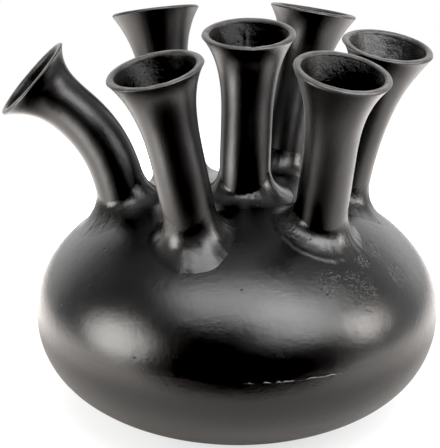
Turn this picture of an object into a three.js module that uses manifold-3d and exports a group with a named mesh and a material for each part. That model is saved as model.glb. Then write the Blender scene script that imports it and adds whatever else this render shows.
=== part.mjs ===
// Tulip vase of cast metal: a wide, flattened body with seven trumpet necks standing on its shoulder.
// Millimetres, +Z up. The origin is the middle of the underside, and the front of the vase looks along -Y.
import * as THREE from "three";
import { mergeVertices } from "three/addons/utils/BufferGeometryUtils.js";
import Module from "manifold-3d";

const wasm = await Module();
wasm.setup();

// Body: two cast shells that meet at the widest circle, with one wall thickness throughout.
const bodyDiameter = 300;
const shoulderRise = 92.8; // from the widest circle to the crown of the shoulder
const shoulderFullness = 1.96; // superellipse exponent: 2 is a plain ellipse, more is squarer
const bellyDepth = 86.4; // from the widest circle to where the belly would end without its foot
const bellyFullness = 2.34;
const footDiameter = 110; // flat ring that the body stands on
const shellWall = 5;
const floorThickness = 6.5;

// Felt disc, let into the underside and standing a little proud of the metal.
const padDiameter = 88;
const padThickness = 2;
const padProud = 0.5;
const padSideClearance = 0.4;

// Welded seam at the widest circle, dressed flush with the body.
const seamWidth = 2.4;
const seamDepth = 2.6;

// Necks: one trumpet section for all seven.
const neckDiameter = 36.8; // slender part, outside
const boreDiameter = 26.8; // slender part, inside: room for one thick stem
const mouthDiameter = 67.5; // outside of the lip
const lipWidth = 5.6; // flat ring round the mouth
const lipRounding = 0.9;
const flareLength = 76; // the trumpet opens over this length
const flareSharpness = 3.4; // how late the flare opens
const neckRise = 120; // usual height of a mouth over its foot

// Weld fillet round each neck's foot.
const weldHeight = 17; // up the neck
const weldReach = 13; // out over the shoulder
const weldToe = 0.9; // height of its outer edge over the shoulder

const castingGap = 0.3; // between castings, and between a casting and its weld

// Each neck is one curve. Its foot stands on the shoulder at an azimuth, part of the way out (0) to the widest
// circle (1). Its root leaves the shoulder upright (splay 0) or square to the surface (splay 1). Its mouth is
// measured from the foot, and faces a way given by a tilt from upright towards an azimuth. The mouth's place,
// and the reach that root and mouth keep their ways for, are shares of the neck rise. Angles are in degrees.
const neckPlan = [
  {
    name: "neck_centre",
    foot: { out: 0.1027, azimuth: 289 },
    root: { splay: 0.8, reach: 0.375 },
    mouth: { x: 0.025, y: 0.1, rise: 0.946 },
    facing: { tilt: 8, toward: 263.5, reach: 0.325 },
  },
  {
    name: "neck_right",
    foot: { out: 0.5307, azimuth: 8.6 },
    root: { splay: 0.3, reach: 0.433 },
    mouth: { x: 0.258, y: 0.063, rise: 0.95 },
    facing: { tilt: 11.5, toward: 317, reach: 0.242 },
  },
  {
    name: "neck_back_right",
    foot: { out: 0.5533, azimuth: 64.4 },
    root: { splay: 0.6, reach: 0.375 },
    mouth: { x: 0.208, y: 0.3225, rise: 1.033 },
    facing: { tilt: 12, toward: 38.5, reach: 0.333 },
  },
  {
    name: "neck_back_left",
    foot: { out: 0.5633, azimuth: 120.5 },
    root: { splay: 0.7, reach: 0.383 },
    mouth: { x: -0.166, y: 0.2625, rise: 1.05 },
    facing: { tilt: 15.2, toward: 117, reach: 0.342 },
  },
  {
    name: "neck_left",
    foot: { out: 0.5567, azimuth: 179 },
    root: { splay: 0.3, reach: 0.5 },
    mouth: { x: -0.558, y: 0.117, rise: 0.771 },
    facing: { tilt: 48, toward: 184, reach: 0.283 },
    flare: 0.58, // this bent neck opens nearer to its mouth, in this share of the usual length
    fillet: 1.3, // and its weld is broader
  },
  {
    name: "neck_front_left",
    foot: { out: 0.5167, azimuth: 245.7 },
    root: { splay: 0.8, reach: 0.442 },
    mouth: { x: -0.203, y: -0.046, rise: 0.9775 },
    facing: { tilt: 14.4, toward: 215.6, reach: 0.242 },
  },
  {
    name: "neck_front_right",
    foot: { out: 0.53, azimuth: 315.6 },
    root: { splay: 0.5, reach: 0.383 },
    mouth: { x: 0.103, y: -0.245, rise: 0.989 },
    facing: { tilt: 14.3, toward: 312, reach: 0.292 },
  },
];

// Fineness of the curved surfaces.
const bodySegments = 40;
const shoulderRings = 7;
const bellyRings = 7;
const neckSides = 18;
const flareRings = 7;
const flareCrowding = 1.5; // above 1, the rings crowd towards the mouth
const stemRings = 3;
const weldArcSteps = 2;
const contactHalvings = 24; // steps of the search for where a neck meets the shoulder
const padSides = 32;

const bodyRadius = bodyDiameter / 2;
const degrees = Math.PI / 180;
const upright = new THREE.Vector3(0, 0, 1);

// Quarter of a superellipse, as a fraction of its two half axes, at a turn from 0 to a quarter circle.
function superellipse(fullness, turn) {
  return [
    Math.cos(turn) ** (2 / fullness),
    Math.sin(turn) ** (2 / fullness),
  ];
}

// Height of a superellipse over its half width, for a point part of the way out.
function superellipseHeight(fullness, share) {
  return (1 - Math.min(share, 1) ** fullness) ** (1 / fullness);
}

const bellyHeight = bellyDepth * superellipseHeight(bellyFullness, footDiameter / bodyDiameter);
const metalFoot = padProud;
const equatorHeight = metalFoot + bellyHeight;

function shoulderHeight(radius) {
  return equatorHeight + shoulderRise * superellipseHeight(shoulderFullness, radius / bodyRadius);
}

// Curve of the shoulder from the crown out to the widest circle, grown or shrunk all round by an offset.
function shoulderCurve(offset) {
  const points = [];
  for (let i = 0; i <= shoulderRings; i += 1) {
    const turn = (1 - i / shoulderRings) * (Math.PI / 2);
    const [across, up] = superellipse(shoulderFullness, turn);
    const radius = i === 0 ? 0 : (bodyRadius + offset) * across;
    points.push([radius, equatorHeight + (shoulderRise + offset) * up]);
  }
  points[shoulderRings][1] = equatorHeight;
  return points;
}

// Curve of the belly from the widest circle down to the level where the foot cuts it off.
function bellyCurve(offset, cutHeight) {
  const depth = bellyDepth + offset;
  const cutShare = (equatorHeight - cutHeight) / depth;
  const cutTurn = Math.asin(cutShare ** (bellyFullness / 2));
  const points = [];
  for (let i = 0; i <= bellyRings; i += 1) {
    const [across, down] = superellipse(bellyFullness, (cutTurn * i) / bellyRings);
    points.push([(bodyRadius + offset) * across, equatorHeight - depth * down]);
  }
  points[0][1] = equatorHeight;
  points[bellyRings][1] = cutHeight;
  return points;
}

// A profile of [radius, height] pairs turned about the Z axis.
function revolve(profile, segments) {
  const points = profile.map(([radius, height]) => new THREE.Vector2(radius, height));
  return new THREE.LatheGeometry(points, segments).rotateX(Math.PI / 2);
}

function toSolid(geometry) {
  const bare = new THREE.BufferGeometry();
  bare.setAttribute("position", geometry.getAttribute("position"));
  bare.setIndex(geometry.index);
  const merged = mergeVertices(bare, 1e-3);
  const vertProperties = new Float32Array(merged.getAttribute("position").array);
  const triVerts = new Uint32Array(merged.index.array);
  return new wasm.Manifold(new wasm.Mesh({ numProp: 3, vertProperties, triVerts }));
}

function toGeometry(solid) {
  const mesh = solid.getMesh();
  const geometry = new THREE.BufferGeometry();
  geometry.setAttribute("position", new THREE.BufferAttribute(mesh.vertProperties, mesh.numProp));
  geometry.setIndex(new THREE.BufferAttribute(mesh.triVerts, 1));
  geometry.computeVertexNormals();
  return geometry;
}

// Direction that leans from upright by a tilt, towards an azimuth.
function leaning(tilt, toward) {
  return upright
    .clone()
    .applyAxisAngle(new THREE.Vector3(0, 1, 0), tilt * degrees)
    .applyAxisAngle(upright, toward * degrees);
}

// Outward normal of the shoulder at a point on it.
function shoulderNormal(point) {
  const radius = Math.hypot(point.x, point.y);
  const outward = (radius / bodyRadius) ** (shoulderFullness - 1) / bodyRadius;
  const upward = ((point.z - equatorHeight) / shoulderRise) ** (shoulderFullness - 1) / shoulderRise;
  return new THREE.Vector3((outward * point.x) / radius, (outward * point.y) / radius, upward).normalize();
}

// The centreline of a neck, from its foot on the shoulder to the middle of its mouth.
function centreline(plan) {
  const azimuth = plan.foot.azimuth * degrees;
  const radius = plan.foot.out * bodyRadius;
  const foot = new THREE.Vector3(radius, 0, shoulderHeight(radius)).applyAxisAngle(upright, azimuth);
  const toMouth = new THREE.Vector3(plan.mouth.x, plan.mouth.y, plan.mouth.rise);
  const mouth = foot.clone().addScaledVector(toMouth, neckRise);
  const root = upright.clone().lerp(shoulderNormal(foot), plan.root.splay).normalize();
  const facing = leaning(plan.facing.tilt, plan.facing.toward);
  return new THREE.CubicBezierCurve3(
    foot,
    foot.clone().addScaledVector(root, plan.root.reach * neckRise),
    mouth.clone().addScaledVector(facing, -plan.facing.reach * neckRise),
    mouth,
  );
}

// A point beside the centreline: so far along it, and offset sideways and towards the back.
// Below the foot the line runs straight on into the body.
function besideLine(line, length, side, back, along) {
  const share = THREE.MathUtils.clamp(along / length, 0, 1);
  const tangent = line.getTangentAt(share);
  const across = new THREE.Vector3(1, 0, 0).addScaledVector(tangent, -tangent.x).normalize();
  const behind = new THREE.Vector3().crossVectors(tangent, across);
  return line
    .getPointAt(share)
    .addScaledVector(tangent, along - share * length)
    .addScaledVector(across, side)
    .addScaledVector(behind, back);
}

function bendAlong(geometry, line) {
  const length = line.getLength();
  const position = geometry.getAttribute("position");
  for (let i = 0; i < position.count; i += 1) {
    const bent = besideLine(line, length, position.getX(i), position.getY(i), position.getZ(i));
    position.setXYZ(i, bent.x, bent.y, bent.z);
  }
  return geometry;
}

// One side of the trumpet wall, from below the foot up to the mouth.
function trumpetSide(length, flare, stemRadius, mouthRadius, sunk) {
  const points = [];
  const flareStart = length - flare;
  for (let i = 0; i < stemRings; i += 1) {
    points.push([stemRadius, -sunk + ((flareStart + sunk) * i) / stemRings]);
  }
  for (let i = 0; i <= flareRings; i += 1) {
    const toMouth = (1 - i / flareRings) ** flareCrowding;
    const opening = (1 - toMouth) ** flareSharpness;
    points.push([stemRadius + (mouthRadius - stemRadius) * opening, length - flare * toMouth]);
  }
  return points;
}

// Straight trumpet wall with its flat lip, as a closed profile.
function trumpetWall(length, flare, sunk) {
  const mouthRadius = mouthDiameter / 2;
  const outside = trumpetSide(length, flare, neckDiameter / 2, mouthRadius, sunk);
  const inside = trumpetSide(length, flare, boreDiameter / 2, mouthRadius - lipWidth, sunk);
  outside[outside.length - 1][1] -= lipRounding;
  inside[inside.length - 1][1] -= lipRounding;
  const lip = [
    [mouthRadius - lipRounding, length],
    [mouthRadius - lipWidth + lipRounding, length],
  ];
  return [...outside, ...lip, ...inside.reverse(), outside[0]];
}

// How deep a tube has to start below its foot so that its whole end lies under the sloping shoulder.
const rootSink = neckDiameter / 2 + shellWall;
const holeStart = -(boreDiameter / 2 + 2 * shellWall);
const holeEnd = boreDiameter / 2;

// The room that a neck takes up, grown by the casting gap, which its weld keeps out of.
function neckKeepOut(line, length, flare) {
  const stem = neckDiameter / 2 + castingGap;
  const side = trumpetSide(length, flare, stem, mouthDiameter / 2 + castingGap, rootSink);
  return toSolid(bendAlong(revolve([[0, -rootSink], ...side, [0, length]], neckSides), line));
}

function boreThroughShoulder(line) {
  const radius = boreDiameter / 2;
  const profile = [
    [0, holeStart],
    [radius, holeStart],
    [radius, holeEnd],
    [0, holeEnd],
  ];
  return toSolid(bendAlong(revolve(profile, neckSides), line));
}

// Where the neck's outside line at one angle comes down onto the shoulder, along the centreline.
function shoulderContact(line, length, angle) {
  const radius = neckDiameter / 2;
  let low = -rootSink;
  let high = rootSink;
  for (let i = 0; i < contactHalvings; i += 1) {
    const middle = (low + high) / 2;
    const point = besideLine(line, length, radius * Math.cos(angle), radius * Math.sin(angle), middle);
    if (point.z > shoulderHeight(Math.hypot(point.x, point.y))) high = middle;
    else low = middle;
  }
  return (low + high) / 2;
}

// Section of the weld at one angle round the neck: a hollow fillet, sunk a little into the neck and the
// shoulder so that both can be cut out of it.
function weldSection(line, length, angle, breadth) {
  const radius = neckDiameter / 2;
  const buried = radius - shellWall / 2;
  const contact = shoulderContact(line, length, angle);
  const place = (distance, along) =>
    besideLine(line, length, distance * Math.cos(angle), distance * Math.sin(angle), along);
  const corner = place(radius, contact);
  const topAlong = contact + weldHeight * breadth;
  const top = place(radius + castingGap + weldToe, topAlong);
  const outward = place(2 * radius, contact).sub(corner).setZ(0).normalize();
  const toe = corner.clone().addScaledVector(outward, weldReach * breadth);
  const surface = shoulderHeight(Math.hypot(toe.x, toe.y));
  toe.z = surface + weldToe;
  const buriedToe = toe.clone().setZ(surface - shellWall / 2);
  const hollow = new THREE.QuadraticBezierCurve3(top, corner, toe).getPoints(weldArcSteps);
  return [...hollow, buriedToe, place(buried, contact - shellWall), place(buried, topAlong)];
}

// Closed ring through sections that all have the same number of points.
function loftRing(sections) {
  const perSection = sections[0].length;
  const index = [];
  for (let i = 0; i < sections.length; i += 1) {
    const next = (i + 1) % sections.length;
    for (let j = 0; j < perSection; j += 1) {
      const after = (j + 1) % perSection;
      const a = i * perSection + j;
      const b = next * perSection + j;
      const c = next * perSection + after;
      const d = i * perSection + after;
      index.push(a, d, c, a, c, b);
    }
  }
  const geometry = new THREE.BufferGeometry().setFromPoints(sections.flat());
  return geometry.setIndex(index);
}

const blackCasting = { color: 0x171516, roughness: 0.42, metalness: 0.55 };
const blackWeld = { color: 0x1d1b1b, roughness: 0.5, metalness: 0.55 };
const darkFelt = { color: 0x20201f, roughness: 0.95, metalness: 0 };

const group = new THREE.Group();

function addPiece(name, geometry, look) {
  const mesh = new THREE.Mesh(geometry, new THREE.MeshStandardMaterial(look));
  mesh.name = name;
  group.add(mesh);
}

// The seam's bed is cut square into both shells, half of its width in each.
const seamBed = bodyRadius - seamDepth;
const seamInner = seamBed + castingGap;

function lowerShell() {
  const outer = bellyCurve(0, metalFoot);
  outer[0] = [seamBed, equatorHeight];
  const lip = [
    [seamBed, equatorHeight - seamWidth / 2],
    [bodyRadius, equatorHeight - seamWidth / 2],
  ];
  const inner = bellyCurve(-shellWall, metalFoot + floorThickness).reverse();
  const recessRadius = padDiameter / 2 + padSideClearance;
  return [
    [0, padThickness],
    [recessRadius, padThickness],
    [recessRadius, metalFoot],
    ...outer.slice(1).reverse(),
    ...lip.reverse(),
    outer[0],
    ...inner.reverse(),
    [0, metalFoot + floorThickness],
  ];
}

function upperShell() {
  const outer = shoulderCurve(0);
  const inner = shoulderCurve(-shellWall);
  outer.pop();
  return [
    ...inner,
    [seamBed, equatorHeight],
    [seamBed, equatorHeight + seamWidth / 2],
    [bodyRadius, equatorHeight + seamWidth / 2],
    ...outer.reverse(),
  ];
}

const seamRing = [
  [seamInner, equatorHeight - seamWidth / 2],
  [bodyRadius, equatorHeight - seamWidth / 2],
  [bodyRadius, equatorHeight + seamWidth / 2],
  [seamInner, equatorHeight + seamWidth / 2],
  [seamInner, equatorHeight - seamWidth / 2],
];

// All that lies inside this solid belongs to the shoulder: necks and welds stop just short of it.
const shoulderBlock = [
  [0, metalFoot],
  [bodyRadius + castingGap, metalFoot],
  ...shoulderCurve(castingGap).reverse(),
];
const shoulderKeepOut = toSolid(revolve(shoulderBlock, bodySegments));

const pad = new THREE.CylinderGeometry(padDiameter / 2, padDiameter / 2, padThickness, padSides);
addPiece("foot_felt_pad", pad.rotateX(Math.PI / 2).translate(0, 0, padThickness / 2), darkFelt);
addPiece("body_lower_shell", revolve(lowerShell(), bodySegments), blackCasting);
addPiece("seam_weld", revolve(seamRing, bodySegments), blackWeld);

let shoulder = toSolid(revolve(upperShell(), bodySegments));

for (const plan of neckPlan) {
  const line = centreline(plan);
  const length = line.getLength();
  shoulder = shoulder.subtract(boreThroughShoulder(line));

  const flare = flareLength * (plan.flare ?? 1);
  const wall = revolve(trumpetWall(length, flare, rootSink), neckSides);
  const neck = toSolid(bendAlong(wall, line)).subtract(shoulderKeepOut);
  addPiece(plan.name, toGeometry(neck), blackCasting);

  const sections = [];
  for (let i = 0; i < neckSides; i += 1) {
    sections.push(weldSection(line, length, (i / neckSides) * 2 * Math.PI, plan.fillet ?? 1));
  }
  const weld = toSolid(loftRing(sections))
    .subtract(shoulderKeepOut)
    .subtract(neckKeepOut(line, length, flare));
  addPiece(plan.name.replace("neck", "weld"), toGeometry(weld), blackWeld);
}

addPiece("body_upper_shell", toGeometry(shoulder), blackCasting);

export default group;
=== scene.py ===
# %% [markdown]
# # A tulip vase of black cast metal
#
# The vase is a wide, flattened body on a small foot, with seven trumpet necks welded to its shoulder, each
# for one flower. A fixed model already holds every piece at its real size. This script loads it first, and
# then gives each piece its fine surface and its finish, in metres and in the same places.

# %% Load the fixed model
import math

import bpy
import numpy as np
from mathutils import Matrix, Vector, noise


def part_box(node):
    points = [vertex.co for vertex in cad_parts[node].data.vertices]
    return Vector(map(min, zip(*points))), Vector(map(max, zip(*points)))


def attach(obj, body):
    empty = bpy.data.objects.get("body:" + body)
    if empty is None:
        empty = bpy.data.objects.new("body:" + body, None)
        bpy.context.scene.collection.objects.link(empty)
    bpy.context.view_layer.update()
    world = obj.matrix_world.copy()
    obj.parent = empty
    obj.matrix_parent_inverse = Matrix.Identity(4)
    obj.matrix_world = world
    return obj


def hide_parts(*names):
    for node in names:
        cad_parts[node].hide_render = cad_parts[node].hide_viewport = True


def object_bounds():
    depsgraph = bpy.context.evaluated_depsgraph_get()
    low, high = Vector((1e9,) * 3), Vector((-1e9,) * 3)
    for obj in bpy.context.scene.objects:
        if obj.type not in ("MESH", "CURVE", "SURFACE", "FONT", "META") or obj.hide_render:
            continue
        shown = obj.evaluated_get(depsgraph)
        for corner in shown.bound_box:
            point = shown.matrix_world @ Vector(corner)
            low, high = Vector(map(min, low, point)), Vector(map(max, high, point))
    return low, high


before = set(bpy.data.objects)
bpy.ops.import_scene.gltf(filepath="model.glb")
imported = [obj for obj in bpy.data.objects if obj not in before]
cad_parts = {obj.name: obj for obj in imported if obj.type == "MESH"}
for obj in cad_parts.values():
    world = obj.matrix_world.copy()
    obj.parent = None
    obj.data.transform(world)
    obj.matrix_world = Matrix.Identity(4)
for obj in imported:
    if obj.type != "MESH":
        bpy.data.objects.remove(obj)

cad_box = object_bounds()
print("fixed model:", len(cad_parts), "pieces, box", [[round(v, 4) for v in c] for c in cad_box])

# %% [markdown]
# ## Sizes
#
# What the fixed model can tell is measured on it: the widest circle, the crown and the foot. The few values
# that a box can't show, such as how full a curve is, are named here. A superellipse with an exponent of 2 is
# a plain ellipse, and a higher one is squarer: the shoulder is almost an ellipse, the belly is fuller.

# %% Body sizes
MM = 0.001
TURN = 2 * math.pi

shoulder_low, shoulder_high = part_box("body_upper_shell")
belly_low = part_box("body_lower_shell")[0]
seam_low, seam_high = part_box("seam_weld")
pad_low, pad_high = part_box("foot_felt_pad")

body_radius = (shoulder_high[0] - shoulder_low[0]) / 2
equator = (seam_low[2] + seam_high[2]) / 2
seam_width = seam_high[2] - seam_low[2]
shoulder_rise = shoulder_high[2] - equator
shoulder_fullness = 1.96
belly_depth = 86.4 * MM
belly_fullness = 2.34
foot_level = belly_low[2]
foot_rounding = 1.6 * MM
shell_wall = 5 * MM
skin_inset = 0.2 * MM  # the seam's crest stands this far out of the skin
floor_thickness = 6.5 * MM
seam_depth = 2.6 * MM
pad_radius = (pad_high[0] - pad_low[0]) / 2
pad_thickness = pad_high[2] - pad_low[2]
pad_side_clearance = 0.4 * MM

print("body radius %.1f mm, widest at %.1f mm, crown at %.1f mm"
      % (body_radius / MM, equator / MM, shoulder_high[2] / MM))

# %% Neck sizes
neck_radius = 18.4 * MM  # slender part, outside
bore_radius = 13.4 * MM
mouth_radius = 33.75 * MM  # outside of the lip
lip_width = 5.6 * MM
lip_rounding = 2.0 * MM
flare_length = 76 * MM
flare_sharpness = 3.4  # how late the trumpet opens
neck_rise = 120 * MM  # usual height of a mouth over its foot
casting_gap = 0.3 * MM
print("necks %.1f mm thick, mouths %.1f mm across" % (2 * neck_radius / MM, 2 * mouth_radius / MM))

# %% [markdown]
# ## Where each neck stands and bends
#
# No two necks are alike. Each has a foot, part of the way out from the axis to the widest circle, at an
# azimuth; a root that leaves the shoulder upright (splay 0) or square to it (splay 1); and a mouth that
# faces its own way. Places and reaches are shares of the usual neck height, and angles are degrees.

# %% Neck plan
# foot: part of the way out, azimuth; root: splay, reach; mouth: how far right, back and up from the foot;
# facing: tilt, azimuth, reach
neck_plan = {
    "neck_centre": ((0.1027, 289), (0.8, 0.375), (0.025, 0.1, 0.946), (8, 263.5, 0.325)),
    "neck_right": ((0.5307, 8.6), (0.3, 0.433), (0.258, 0.063, 0.95), (11.5, 317, 0.242)),
    "neck_back_right": ((0.5533, 64.4), (0.6, 0.375), (0.208, 0.3225, 1.033), (12, 38.5, 0.333)),
    "neck_back_left": ((0.5633, 120.5), (0.7, 0.383), (-0.166, 0.2625, 1.05), (15.2, 117, 0.342)),
    "neck_left": ((0.5567, 179), (0.3, 0.5), (-0.558, 0.117, 0.771), (48, 184, 0.283)),
    "neck_front_left": ((0.5167, 245.7), (0.8, 0.442), (-0.203, -0.046, 0.9775), (14.4, 215.6, 0.242)),
    "neck_front_right": ((0.53, 315.6), (0.5, 0.383), (0.103, -0.245, 0.989), (14.3, 312, 0.292)),
}
flare_shares = {"neck_left": 0.58}  # its flare is shorter than the others
print(len(neck_plan), "necks")

# %% [markdown]
# ## Curves in plain Python
#
# Two shapes drive everything: the curve of the body and the centreline of each neck. A centreline is a cubic
# curve from the foot to the mouth. `beside` gives a point so far along it and so far to the side, which is
# how a straight pipe is bent: its length is laid along the curve, and its radius across it.


# %% Body curve and centrelines
def unit(vectors):
    return vectors / np.linalg.norm(vectors, axis=-1, keepdims=True)


def shoulder_height(radius, inset=0):
    share = np.minimum(np.asarray(radius) / (body_radius - inset), 1)
    return equator + (shoulder_rise - inset) * (1 - share**shoulder_fullness) ** (1 / shoulder_fullness)


def shoulder_normal(point):
    radius = math.hypot(point[0], point[1])
    outward = (radius / body_radius) ** (shoulder_fullness - 1) / body_radius
    upward = ((point[2] - equator) / shoulder_rise) ** (shoulder_fullness - 1) / shoulder_rise
    return unit(np.array([outward * point[0] / radius, outward * point[1] / radius, upward]))


def leaning(tilt, toward):
    tilt, toward = math.radians(tilt), math.radians(toward)
    return np.array([math.sin(tilt) * math.cos(toward), math.sin(tilt) * math.sin(toward), math.cos(tilt)])


class Centreline:
    """The middle line of one neck, running straight on at both of its ends."""

    def __init__(self, plan):
        (out, azimuth), (splay, root_reach), mouth_place, (tilt, toward, mouth_reach) = plan
        radius, angle = out * body_radius, math.radians(azimuth)
        foot = np.array([radius * math.cos(angle), radius * math.sin(angle), shoulder_height(radius)])
        mouth = foot + np.array(mouth_place) * neck_rise
        root = unit((1 - splay) * np.array([0, 0, 1]) + splay * shoulder_normal(foot))
        from_root = foot + root * root_reach * neck_rise
        to_mouth = mouth - leaning(tilt, toward) * mouth_reach * neck_rise
        self.controls = np.array([foot, from_root, to_mouth, mouth])
        share = np.linspace(0, 1, 401)[:, None]
        rest = 1 - share
        self.points = (rest**3 * foot + 3 * rest**2 * share * from_root
                       + 3 * rest * share**2 * to_mouth + share**3 * mouth)
        steps = np.linalg.norm(np.diff(self.points, axis=0), axis=1)
        self.lengths = np.concatenate([[0], np.cumsum(steps)])
        self.length = self.lengths[-1]
        self.tangents = unit(np.gradient(self.points, axis=0))

    def beside(self, side, back, along):
        side, back, along = np.broadcast_arrays(side, back, along)
        inside = np.clip(along, 0, self.length)
        middle, tangent = [
            np.stack([np.interp(inside, self.lengths, table[:, i]) for i in range(3)], -1)
            for table in (self.points, self.tangents)]
        tangent = unit(tangent)
        across = unit(np.array([1.0, 0, 0]) - tangent * tangent[..., :1])
        behind = np.cross(tangent, across)
        straight = (along - inside)[..., None]
        return middle + tangent * straight + across * side[..., None] + behind * back[..., None]


lines = {name: Centreline(plan) for name, plan in neck_plan.items()}
for name, line in lines.items():
    print("%-18s %.1f mm long" % (name, line.length / MM))

# %% [markdown]
# ## Writing node trees as sums
#
# A material, or a shape made by nodes, is mostly arithmetic. `Wire` wraps a node's output, and `+ - * /` on
# it add Math nodes, so a formula reads the way it would on paper. `Tree.node` adds any other node: it takes
# the values or wires of its sockets, and then its settings.


# %% Node helpers
def operator(operation):
    return lambda self, other: self.tree.maths(operation, self, other)


class Wire:
    """A node's output. Arithmetic on it adds Math nodes to its tree."""

    def __init__(self, tree, socket):
        self.tree = tree
        self.socket = socket

    __add__ = __radd__ = operator("ADD")
    __mul__ = __rmul__ = operator("MULTIPLY")
    __sub__ = operator("SUBTRACT")
    __truediv__ = operator("DIVIDE")
    __pow__ = operator("POWER")

    def __rsub__(self, other):
        return self.tree.maths("SUBTRACT", other, self)

    def maths(self, operation, *values):
        return self.tree.maths(operation, self, *values)

    def held(self):
        """The value held between 0 and 1."""
        return self.maths("MINIMUM", 1).maths("MAXIMUM", 0)

    def bell(self):
        """1 where the value is 0, falling to 0 on both sides."""
        return self.tree.maths("POWER", math.e, self * self * -1)


class Outputs:
    """The outputs of one node, by name or number."""

    def __init__(self, tree, node):
        self.tree = tree
        self.node = node

    def __getitem__(self, key):
        return Wire(self.tree, self.tree.socket(self.node.outputs, key))


class Tree:
    """A node tree that is built by formulas. Its colours have three numbers."""

    def __init__(self, tree):
        self.tree = tree

    @staticmethod
    def socket(sockets, key):
        if isinstance(key, int):
            return sockets[key]
        return next(s for s in sockets if key in (s.identifier, s.name) and s.enabled)

    def node(self, kind, inputs=None, **settings):
        node = self.tree.nodes.new(kind)
        for name, value in settings.items():
            setattr(node, name, value)
        for key, value in (inputs or {}).items():
            socket = self.socket(node.inputs, key)
            if isinstance(value, Wire):
                self.tree.links.new(value.socket, socket)
            else:
                socket.default_value = (*value, 1) if socket.type == "RGBA" else value
        return Outputs(self, node)

    def maths(self, operation, *values):
        return self.node("ShaderNodeMath", dict(enumerate(values)), operation=operation)[0]

    def vector_maths(self, operation, *values, out="Vector"):
        return self.node("ShaderNodeVectorMath", dict(enumerate(values)), operation=operation)[out]

    def scaled(self, vector, factor):
        inputs = {"Vector": vector, "Scale": factor}
        return self.node("ShaderNodeVectorMath", inputs, operation="SCALE")["Vector"]

    def parts(self, vector):
        return self.node("ShaderNodeSeparateXYZ", {"Vector": vector})

    def combined(self, x, y, z):
        return self.node("ShaderNodeCombineXYZ", {"X": x, "Y": y, "Z": z})["Vector"]

    def noise(self, place, size, seed=0.0, detail=2.0, roughness=0.5):
        """Smooth noise from 0 to 1, with lumps about the given size across."""
        inputs = {"Vector": place, "W": seed, "Scale": 1 / size, "Detail": detail, "Roughness": roughness}
        return self.node("ShaderNodeTexNoise", inputs, noise_dimensions="4D")[0]

    def band(self, value, low, high):
        """Rises smoothly from 0 at low to 1 at high."""
        inputs = {"Value": value, "From Min": low, "From Max": high}
        return self.node("ShaderNodeMapRange", inputs, interpolation_type="SMOOTHSTEP")[0]


class PaintTree(Tree):
    """The emptied node tree of a finish or of the room."""

    def __init__(self, owner):
        owner.use_nodes = True
        owner.node_tree.nodes.clear()
        super().__init__(owner.node_tree)

    def attribute(self, name):
        return self.node("ShaderNodeAttribute", attribute_name=name)["Fac"]

    def colour(self, amount, first, second):
        """From the first colour to the second as the amount goes from 0 to 1."""
        inputs = {"Factor_Float": amount, "A_Color": first, "B_Color": second}
        return self.node("ShaderNodeMix", inputs, data_type="RGBA")["Result_Color"]

    def bump(self, height, distance=1.0):
        inputs = {"Strength": 1.0, "Distance": distance, "Height": height}
        return self.node("ShaderNodeBump", inputs)["Normal"]

    def shader(self, kind, inputs):
        return self.node("ShaderNode" + kind, inputs)[0]

    def mixed(self, amount, first, second):
        return self.shader("MixShader", {0: amount, 1: first, 2: second})

    def surface(self, shader):
        self.node("ShaderNodeOutputMaterial", {"Surface": shader})


class ShapeTree(Tree):
    """A geometry tree with named inputs."""

    def __init__(self, name, inputs):
        super().__init__(bpy.data.node_groups.new(name, "GeometryNodeTree"))
        kinds = {"Centreline": "Object", "Finish": "Material", "Geometry": "Geometry"}
        for label in inputs:
            kind = "NodeSocket" + kinds.get(label, "Float")
            self.tree.interface.new_socket(label, in_out="INPUT", socket_type=kind)
        self.tree.interface.new_socket("Geometry", in_out="OUTPUT", socket_type="NodeSocketGeometry")
        self.given = self.node("NodeGroupInput")

    def here(self):
        return self.node("GeometryNodeInputPosition")[0]

    def moved(self, geometry, offset):
        return self.node("GeometryNodeSetPosition", {"Geometry": geometry, "Offset": offset})["Geometry"]

    def stored(self, geometry, label, value):
        """The geometry with a value kept at every point, for later nodes and the finish to read."""
        inputs = {"Geometry": geometry, "Name": label, "Value": value}
        return self.node("GeometryNodeStoreNamedAttribute", inputs, data_type="FLOAT")["Geometry"]

    def read(self, label):
        return self.node("GeometryNodeInputNamedAttribute", {"Name": label}, data_type="FLOAT")["Attribute"]

    def finish(self, geometry):
        """Make instances real, set the finish and hand the geometry out."""
        real = self.node("GeometryNodeRealizeInstances", {"Geometry": geometry})["Geometry"]
        inputs = {"Geometry": real, "Material": self.given["Finish"]}
        self.node("NodeGroupOutput", {"Geometry": self.node("GeometryNodeSetMaterial", inputs)["Geometry"]})


def link(thing):
    bpy.context.scene.collection.objects.link(thing)
    return thing


def grown(name, shape_tree, values, mesh=None):
    """Run a geometry tree, on a mesh where one is given, and keep the result as a plain mesh object."""
    host = link(bpy.data.objects.new(name + "_host", mesh or bpy.data.meshes.new(name + "_start")))
    modifier = host.modifiers.new(name, "NODES")
    modifier.node_group = shape_tree.tree
    for item in shape_tree.tree.interface.items_tree:
        if item.in_out == "INPUT" and item.name in values:
            modifier[item.identifier] = values[item.name]
    host.update_tag()
    evaluated = host.evaluated_get(bpy.context.evaluated_depsgraph_get())
    result = bpy.data.meshes.new_from_object(evaluated)
    result.name = name
    bpy.data.objects.remove(host)
    return link(bpy.data.objects.new(name, result))


print("helpers ready")
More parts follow.
